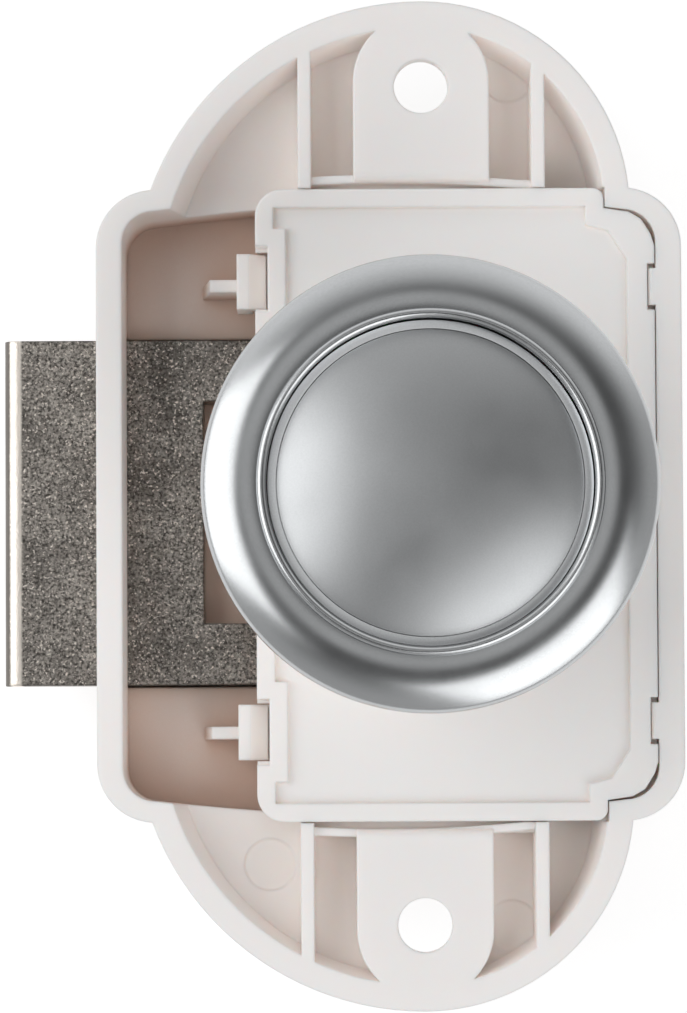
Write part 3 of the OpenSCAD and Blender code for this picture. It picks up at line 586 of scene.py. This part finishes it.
class LOCK_OT_stage(bpy.types.Operator):
    """Floor, soft light and the camera over the lock"""

    bl_idname = "lock.stage"
    bl_label = "Stage"

    def execute(self, context):
        stage = settings()[2]
        self.room(stage)
        self.floor()
        for name, around, from_zenith, size, share in SOFTBOXES:
            self.softbox(name, around, from_zenith, size, stage.softbox * share)
        self.camera(stage)
        context.scene.view_settings.view_transform = "Standard"
        return {"FINISHED"}

    @staticmethod
    def room(stage):
        """Room round the lock: dim walls, brighter overhead, low down and at the far wall"""
        world = bpy.data.worlds.new("studio_room")
        world.use_nodes = True
        tree = world.node_tree
        sky = tree.nodes["Background"]
        place = add(tree, "ShaderNodeTexCoord")
        split = add(tree, "ShaderNodeSeparateXYZ")
        tree.links.new(place.outputs["Generated"], split.inputs[0])
        ramp = add(tree, "ShaderNodeValToRGB")
        stops = ((0.0, stage.horizon), (0.42, stage.horizon * 0.92), (0.55, stage.horizon * 0.75),
                 (0.7, (stage.horizon + 2 * stage.walls) / 3), (0.86, stage.walls), (0.965, stage.walls),
                 (0.99, stage.overhead), (1.0, stage.overhead))
        for at, _ in stops[1:-1]:
            ramp.color_ramp.elements.new(at)
        for element, (at, level) in zip(ramp.color_ramp.elements, stops):
            element.position, element.color = at, (level, level, level, 1)
        beyond = add(tree, "ShaderNodeMapRange", clamp=True, interpolation_type="SMOOTHSTEP")
        beyond.inputs["From Min"].default_value, beyond.inputs["From Max"].default_value = FAR_WALL_SPAN
        beyond.inputs["To Max"].default_value = stage.far_wall
        both = add(tree, "ShaderNodeMath", operation="ADD")
        height = add(tree, "ShaderNodeVectorMath", operation="DOT_PRODUCT")
        height.inputs[1].default_value = OVERHEAD_AXIS
        tree.links.new(place.outputs["Generated"], height.inputs[0])
        tree.links.new(height.outputs["Value"], ramp.inputs["Fac"])
        tree.links.new(split.outputs["Y"], beyond.inputs["Value"])
        tree.links.new(ramp.outputs["Color"], both.inputs[0])
        tree.links.new(beyond.outputs["Result"], both.inputs[1])
        tree.links.new(both.outputs[0], sky.inputs["Color"])
        bpy.context.scene.world = world

    @staticmethod
    def floor():
        bm = bmesh.new()
        bmesh.ops.create_grid(bm, x_segments=2, y_segments=2, size=4.0)
        bm.transform(Matrix.Translation((0, 0, FLOOR_Z)))
        mesh = bpy.data.meshes.new("floor")
        bm.to_mesh(mesh)
        bm.free()
        floor = bpy.data.objects.new("floor", mesh)
        bpy.context.scene.collection.objects.link(floor)
        material, tree, shader = new_material("pale_floor", (FLOOR_GREY,) * 3)
        shader.inputs["Base Color"].default_value = (FLOOR_GREY, FLOOR_GREY, FLOOR_GREY, 1)
        shader.inputs["Roughness"].default_value = 0.9
        shader.inputs["Specular IOR Level"].default_value = 0.0
        shader.inputs["Emission Color"].default_value = (1, 1, 1, 1)
        path = add(tree, "ShaderNodeLightPath")
        seen = add(tree, "ShaderNodeMath", operation="MAXIMUM")
        seen_too = add(tree, "ShaderNodeMath", operation="MAXIMUM")
        lift = add(tree, "ShaderNodeMath", operation="MULTIPLY")
        lift.inputs[1].default_value = FLOOR_LIFT
        tree.links.new(path.outputs["Is Camera Ray"], seen.inputs[0])
        tree.links.new(path.outputs["Is Glossy Ray"], seen.inputs[1])
        tree.links.new(seen.outputs[0], seen_too.inputs[0])
        tree.links.new(path.outputs["Is Transmission Ray"], seen_too.inputs[1])
        tree.links.new(seen_too.outputs[0], lift.inputs[0])
        tree.links.new(lift.outputs[0], shader.inputs["Emission Strength"])
        mesh.materials.append(material)

    @staticmethod
    def softbox(name, around, from_zenith, size, brightness):
        """Rectangular softbox that faces the lock, at angles round Z and down from straight overhead"""
        around, down = math.radians(around), math.radians(from_zenith)
        level = math.sin(down)
        place = LAMP_DISTANCE * Vector((level * math.cos(around), level * math.sin(around), math.cos(down)))
        light = bpy.data.lights.new(name, "AREA")
        light.shape = "RECTANGLE"
        light.size, light.size_y = size
        light.energy = brightness * math.pi * size[0] * size[1]
        lamp = bpy.data.objects.new(name, light)
        lamp.location = place
        lamp.rotation_mode = "QUATERNION"
        lamp.rotation_quaternion = (-place).to_track_quat("-Z", "X")
        bpy.context.scene.collection.objects.link(lamp)

    @staticmethod
    def camera(stage):
        data = bpy.data.cameras.new("photo_camera")
        data.lens = stage.lens
        data.sensor_width = 36
        data.shift_x, data.shift_y = CAMERA_SHIFT
        data.clip_start, data.clip_end = 0.01, 20
        camera = bpy.data.objects.new("photo_camera", data)
        camera.location = (CAMERA_X, CAMERA_Y, stage.camera_height)
        camera.rotation_euler = CAMERA_TURN
        bpy.context.scene.collection.objects.link(camera)
        bpy.context.scene.camera = camera


class LOCK_OT_mouldings(bpy.types.Operator):
    """White mouldings: case, cover plate and sleeve"""

    bl_idname = "lock.mouldings"
    bl_label = "Mouldings"

    def execute(self, context):
        finish = settings()[0]
        # The hollow and depth colours are painted light and shade in the hollows of the mouldings
        colours = [tuple(c) for c in (finish.plastic, finish.hollow_shading, finish.depth)]
        white = moulded_plastic("white_moulding", *colours, finish.edge_radius)
        dress(["housing", "cover_plate", "sleeve"], white)
        return {"FINISHED"}


class LOCK_OT_bolt(bpy.types.Operator):
    """Nickel plated bolt and its drive pins"""

    bl_idname = "lock.bolt"
    bl_label = "Bolt"

    def execute(self, context):
        finish = settings()[0]
        strip_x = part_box("bolt")[0].x + NOSE_MIDDLE
        dress(["bolt"], grainy_nickel("grainy_nickel", tuple(finish.nickel), finish.edge_radius, strip_x))
        dress(["drive_pins"], drawn_steel("pin_steel", tuple(finish.steel)))
        return {"FINISHED"}


class LOCK_OT_rosette(bpy.types.Operator):
    """Rounded satin chrome ring on the door front"""

    bl_idname = "lock.rosette"
    bl_label = "Rosette"

    def execute(self, context):
        finish, turning, _ = settings()
        low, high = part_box("rosette")
        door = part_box("sleeve")[1].z
        face_r, edge_r, bead = turning.ring_face, turning.ring_edge, turning.bead_radius
        ring_r, face_z = high.x - turning.ring_crest, door + turning.ring_height - face_r
        edge_x = high.x - edge_r
        edge_z = face_z + math.sqrt((face_r - edge_r) ** 2 - (edge_x - ring_r) ** 2)
        meet = math.degrees(math.atan2(edge_z - face_z, edge_x - ring_r))
        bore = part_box("knob_cap")[1].x + BORE_GAP
        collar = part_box("sleeve")[1].x - COLLAR_STEP
        bead_x = bore + bead - BEAD_LIP
        bead_turn = 180 - math.degrees(math.acos((ring_r - bead_x) / face_r))
        bead_half = math.degrees(2 * math.asin(bead / (2 * face_r)))
        bead_z = face_z + face_r * math.sin(math.radians(bead_turn)) - BEAD_SINK
        outline = [(bore, low.z), (collar, low.z), (collar, door), (high.x, door)]
        outline += arc((edge_x, edge_z), edge_r, 0, meet, 16)
        outline += arc((ring_r, face_z), face_r, meet, bead_turn - bead_half, 40)[1:]
        outline += arc((bead_x, bead_z), bead, bead_turn - BEAD_REACH, bead_turn + BEAD_REACH, 16)
        outline += [(bore, bead_z - bead)]
        piece = turned("rosette_ring", outline)
        stand_for(piece, "rosette", "case", satin_chrome("ring_chrome", finish.chrome))
        return {"FINISHED"}


class LOCK_OT_button(bpy.types.Operator):
    """Button: plated cup with a bevelled edge, and the domed satin disc in it"""

    bl_idname = "lock.button"
    bl_label = "Button"

    def execute(self, context):
        finish, turning, _ = settings()
        self.cup(finish, turning)
        self.disc(finish, turning)
        return {"FINISHED"}

    @staticmethod
    def cup(finish, turning):
        low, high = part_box("knob_cap")
        face_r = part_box("face_disc")[1].x
        seat_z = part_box("face_disc")[0].z
        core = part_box("knob_stem")[1]
        inside = core.x + SEAT_GAP
        edge_w, edge_h, soft = high.x - face_r - RIM_SEAM, turning.edge_height, RIM_SOFT
        tilt = math.atan2(edge_h, edge_w)
        soft_z = high.z - edge_h - soft * (1 - math.sin(tilt)) / math.cos(tilt)
        outline = [(0, core.z), (inside, core.z), (inside, low.z), (high.x, low.z)]
        outline += arc((high.x - soft, soft_z), soft, 0, 90 - math.degrees(tilt), 6)
        seat_r = face_r + SEAT_GAP
        outline += [(high.x - edge_w, high.z), (seat_r, high.z), (seat_r, seat_z), (0, seat_z)]
        piece = turned("button_cup", outline, closed=False)
        stand_for(piece, "knob_cap", "button", satin_chrome("cup_chrome", finish.chrome))
        piece.data.materials.append(satin_chrome("painted_highlight_rim_chrome", finish.chrome))
        # Faces that look up take the brighter copy of the chrome: a painted highlight on the top of the cup's edge
        for face in piece.data.polygons:
            face.material_index = int(face.normal.z > 0.5)

    @staticmethod
    def disc(finish, turning):
        low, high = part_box("face_disc")
        radius, rise = high.x, turning.face_rise
        sphere = (radius * radius + rise * rise) / (2 * rise)
        edge_angle = math.degrees(math.acos(radius / sphere))
        outline = [(0, low.z), (radius, low.z)]
        outline += arc((0, high.z - sphere), sphere, edge_angle, 90, 40)[:-1] + [(0, high.z)]
        piece = turned("button_face", outline, closed=False)
        stand_for(piece, "face_disc", "button", satin_chrome("face_chrome", finish.chrome))


class LOCK_OT_spring(bpy.types.Operator):
    """Return spring, whose coils stretch between the floor of the case and the washer on the button"""

    bl_idname = "lock.spring"
    bl_label = "Return spring"

    def execute(self, context):
        finish, turning, _ = settings()
        low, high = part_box("return_spring")
        thick = turning.spring_wire
        piece = coil("return_coil", min(high.x, -low.x) - thick / 2, thick / 2,
                     low.z + thick / 2, high.z - thick / 2, turning.spring_turns)
        piece.data.materials.append(drawn_steel("coil_steel", tuple(finish.steel)))
        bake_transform(piece)
        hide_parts("return_spring")
        return {"FINISHED"}


class LOCK_OT_inner_pieces(bpy.types.Operator):
    """Plunger, stem, screw, washer, follower wire and leaf"""

    bl_idname = "lock.inner_pieces"
    bl_label = "Inner pieces"

    def execute(self, context):
        finish = settings()[0]
        natural = tuple(finish.natural)
        # Painted shade: 0.7 of the natural colour, laid into the hollows of the plunger and stem and low down in
        # them
        shade = tuple(c * 0.7 for c in natural)
        cream = moulded_plastic("natural_moulding", natural, shade, shade, finish.edge_radius)
        dress(["plunger", "knob_stem"], cream)
        dress(["stem_screw", "spring_washer", "follower_wire", "follower_leaf"],
              drawn_steel("screw_steel", tuple(finish.steel)))
        return {"FINISHED"}


class LOCK_PT_panel(bpy.types.Panel):
    """Steps that dress the lock"""

    bl_idname = "LOCK_PT_panel"
    bl_label = "Push Button Lock"
    bl_space_type = "VIEW_3D"
    bl_region_type = "UI"
    bl_category = "Lock"

    def draw(self, context):
        for operator in OPERATORS:
            self.layout.operator(operator.bl_idname)
        for group in settings():
            column = self.layout.column(align=True)
            for name in group.__annotations__:
                column.prop(group, name)


GROUPS = (
    ("lock_finish", LockFinishSettings),
    ("lock_turning", LockTurningSettings),
    ("lock_stage", LockStageSettings),
)
OPERATORS = (
    LOCK_OT_stage,
    LOCK_OT_mouldings,
    LOCK_OT_bolt,
    LOCK_OT_rosette,
    LOCK_OT_button,
    LOCK_OT_spring,
    LOCK_OT_inner_pieces,
)


def register():
    for name, group in GROUPS:
        bpy.utils.register_class(group)
        setattr(bpy.types.Scene, name, bpy.props.PointerProperty(type=group))
    for cls in (*OPERATORS, LOCK_PT_panel):
        bpy.utils.register_class(cls)


def unregister():
    for cls in (LOCK_PT_panel, *reversed(OPERATORS)):
        bpy.utils.unregister_class(cls)
    for name, group in reversed(GROUPS):
        delattr(bpy.types.Scene, name)
        bpy.utils.unregister_class(group)


def main():
    register()
    bpy.ops.lock.stage()
    bpy.ops.lock.mouldings()
    bpy.ops.lock.bolt()
    bpy.ops.lock.rosette()
    bpy.ops.lock.button()
    bpy.ops.lock.spring()
    bpy.ops.lock.inner_pieces()


if __name__ == "__main__":
    main()
